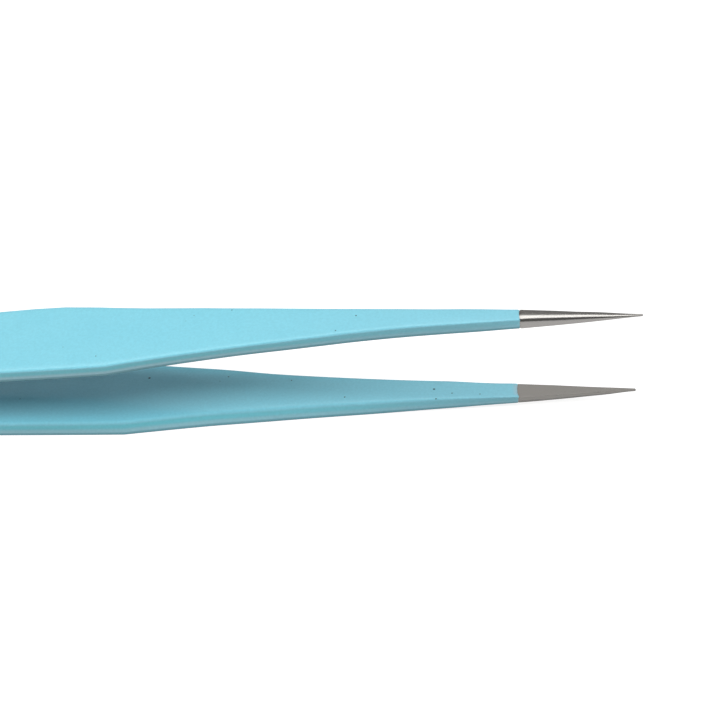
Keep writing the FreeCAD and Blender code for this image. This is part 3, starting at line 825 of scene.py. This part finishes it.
def steelMaterial():
    finish = steelFinish
    material, tree, surface = newMaterial("bareSteel")
    noise = {name: noiseOf(tree, *settings) for name, settings in finish["noise"].items()}
    shader = node(tree, "ShaderNodeBsdfPrincipled", Metallic=1.0)
    colour = blended(tree, ranged(tree, noise["lines"], 0, 1), finish["colour"], finish["dull"])
    streaks = ranged(tree, noise["lines"], *finish["streaks"])
    # the duller finishes, then the painted shade along the edge line and the painted shadow where the epoxy
    # ends
    for mark in ("wall", "ground", "edge", "lipShadow"):
        part = node(tree, "ShaderNodeAttribute", attribute_name=mark)
        amount = node(tree, "ShaderNodeMath", operation="MULTIPLY")
        joinUp(tree, (part.outputs["Fac"], amount.inputs[0]))
        if mark == "edge":
            joinUp(tree, (streaks, amount.inputs[1]))
        else:
            amount.inputs[1].default_value = finish["strength"]
        colour = blended(tree, amount.outputs[0], colour, finish[mark])
    ground = node(tree, "ShaderNodeAttribute", attribute_name="ground")
    smooth = ranged(tree, noise["pores"], *finish["outerRoughness"])
    matte = ranged(tree, noise["pores"], *finish["innerRoughness"])
    rough = node(tree, "ShaderNodeMix", data_type="FLOAT")
    lines = bumpOf(tree, *finish["lines"], noise["lines"])
    pores = bumpOf(tree, *finish["pores"], noise["pores"])
    joinUp(tree, (ground.outputs["Fac"], rough.inputs[0]), (smooth, rough.inputs[2]),
           (matte, rough.inputs[3]), (rough.outputs[0], shader.inputs["Roughness"]),
           (colour, shader.inputs["Base Color"]), (lines.outputs["Normal"], pores.inputs["Normal"]),
           (pores.outputs["Normal"], shader.inputs["Normal"]), (shader.outputs["BSDF"], surface))
    return material


steel = steelMaterial()
buildBlade("upperSteel", 1, steel, "upper_blade")
buildBlade("lowerSteel", -1, steel, "lower_blade")
buildCoat(epoxyMaterial())
buildGrains(grainMaterial())
print("pieces made")


# The studio: a pale floor, one broad softbox overhead and a low one in front, a plain sky, and cards that
# only show in gloss
studio = {
    "sky": 0.24,                        # light from all round
    "floor": 0.34,                      # how much light the floor gives back
    "floorHalf": 3.0,                   # half its length and width, in metres
    "floorWhite": (0.84, 0.97),         # light of its own that makes it look white, growing over
    "reach": (0.2, 1.0),                # these distances, in metres, since the softboxes don't reach so far
    "softboxes": {"overhead": {"tilt": 9, "distance": 0.6, "size": (1.1, 0.46), "strength": 2.8},
                  "frontFill": {"tilt": 62, "distance": 0.9, "size": (1.4, 0.42), "strength": 0.6}},
    # from and to in degrees from upright, towards the front, and brightness
    "cards": {"backCard": (-88, -42, 0.30), "brightCard": (-42, -17.5, 2.45), "frontCard": (-17, 86, 0.20)},
    "cardDistance": 0.8,
    "cardHalf": 1.5,                    # half a card's length
    "cardSteps": 24,
}


def seenDirectly(tree):
    # 1 for what the camera sees, directly or in metal or glass, 0 for light that falls on things
    path = node(tree, "ShaderNodeLightPath")
    first, second = (node(tree, "ShaderNodeMath", operation="MAXIMUM") for _ in range(2))
    joinUp(tree, (path.outputs["Is Camera Ray"], first.inputs[0]),
           (path.outputs["Is Glossy Ray"], first.inputs[1]), (first.outputs[0], second.inputs[0]),
           (path.outputs["Is Transmission Ray"], second.inputs[1]))
    return second.outputs[0]


def setUpSky():
    world = bpy.data.worlds.new("studioSky")
    bpy.context.scene.world = world
    world.use_nodes = True
    tree = world.node_tree
    tree.nodes.clear()
    background = node(tree, "ShaderNodeBackground", Color=(1, 1, 1, 1))
    output = node(tree, "ShaderNodeOutputWorld")
    strength = ranged(tree, seenDirectly(tree), studio["sky"], 1.0, 0, 1)
    joinUp(tree, (strength, background.inputs["Strength"]), (background.outputs[0], output.inputs["Surface"]))


def setUpFloor():
    corners = np.array([(-1, -1, 0), (1, -1, 0), (1, 1, 0), (-1, 1, 0)]) * studio["floorHalf"]
    mesh = newMesh("floor", corners, np.array([(0, 1, 2, 3)]))
    floor = placed("floor", mesh)
    material, tree, surface = newMaterial("paleFloor")
    paint = node(tree, "ShaderNodeBsdfDiffuse", Color=(*[studio["floor"]] * 3, 1))
    glow = node(tree, "ShaderNodeEmission", Color=(1, 1, 1, 1))
    both = node(tree, "ShaderNodeAddShader")
    place = node(tree, "ShaderNodeTexCoord")
    distance = node(tree, "ShaderNodeVectorMath", operation="LENGTH")
    joinUp(tree, (place.outputs["Object"], distance.inputs[0]))
    white = ranged(tree, distance.outputs["Value"], *studio["floorWhite"], *studio["reach"])
    strength = node(tree, "ShaderNodeMath", operation="MULTIPLY")
    joinUp(tree, (seenDirectly(tree), strength.inputs[0]), (white, strength.inputs[1]))
    joinUp(tree, (strength.outputs[0], glow.inputs["Strength"]), (paint.outputs[0], both.inputs[0]),
           (glow.outputs[0], both.inputs[1]), (both.outputs[0], surface))
    mesh.materials.append(material)


def setUpCard(name, first, last, brightness):
    # A strip bent round the tweezers: a circle's arc in the plane across them, drawn out along x
    steps, distance, half = studio["cardSteps"], studio["cardDistance"], studio["cardHalf"]
    turn = np.radians(np.linspace(first, last, steps))
    y, z = -distance * np.sin(turn), distance * np.cos(turn)
    points = np.concatenate([np.stack([np.full(steps, x), y, z], 1) for x in (-half, half)])
    low = np.arange(steps - 1)
    mesh = newMesh(name, points, np.stack([low, low + 1, low + steps + 1, low + steps], 1))
    card = placed(name, mesh)
    material, tree, surface = newMaterial(name)
    glow = node(tree, "ShaderNodeEmission", Color=(1, 1, 1, 1), Strength=brightness)
    joinUp(tree, (glow.outputs[0], surface))
    mesh.materials.append(material)
    card.visible_camera = card.visible_diffuse = card.visible_shadow = card.visible_transmission = False


def setUpSoftbox(name, box):
    light = bpy.data.lights.new(name, "AREA")
    light.shape = "RECTANGLE"
    width, depth = light.size, light.size_y = box["size"]
    light.energy = box["strength"] * math.pi * width * depth
    lamp = placed(name, light)
    tilt = math.radians(box["tilt"])
    place = Vector((0, -math.sin(tilt), math.cos(tilt))) * box["distance"]
    lamp.matrix_world = Matrix.Translation(place) @ Matrix.Rotation(tilt, 4, "X")
    lamp.visible_glossy = False


camera = {
    "place": (35.207, -113.732, 116.380),       # millimetres
    "azimuth": -2.035, "elevation": 44.085, "roll": -1.738,     # degrees, the elevation downwards
    "sensor": 36,
    "focus": 1528.08 / 720,                     # focal length in pictures' widths
    "clip": (0.01, 20),                         # metres
}


def setUpCamera():
    azimuth, elevation, roll = (math.radians(camera[name]) for name in ("azimuth", "elevation", "roll"))
    ahead = Vector((math.sin(azimuth) * math.cos(elevation), math.cos(azimuth) * math.cos(elevation),
                    -math.sin(elevation)))
    level = ahead.cross(Vector((0, 0, 1))).normalized()
    upright = level.cross(ahead)
    right = level * math.cos(roll) + upright * math.sin(roll)
    up = right.cross(ahead)
    lens = bpy.data.cameras.new("camera")
    lens.sensor_width = camera["sensor"]
    lens.lens = camera["focus"] * camera["sensor"]
    lens.clip_start, lens.clip_end = camera["clip"]
    viewer = placed("camera", lens)
    turned = Matrix((right, up, -ahead)).transposed().to_4x4()
    viewer.matrix_world = Matrix.Translation(Vector(camera["place"]) * millimetre) @ turned
    bpy.context.scene.camera = viewer


setUpSky()
setUpFloor()
for cardName, (first, last, brightness) in studio["cards"].items():
    setUpCard(cardName, first, last, brightness)
for boxName, box in studio["softboxes"].items():
    setUpSoftbox(boxName, box)
setUpCamera()
bpy.context.scene.view_settings.view_transform = "Standard"
print("studio and camera set up")
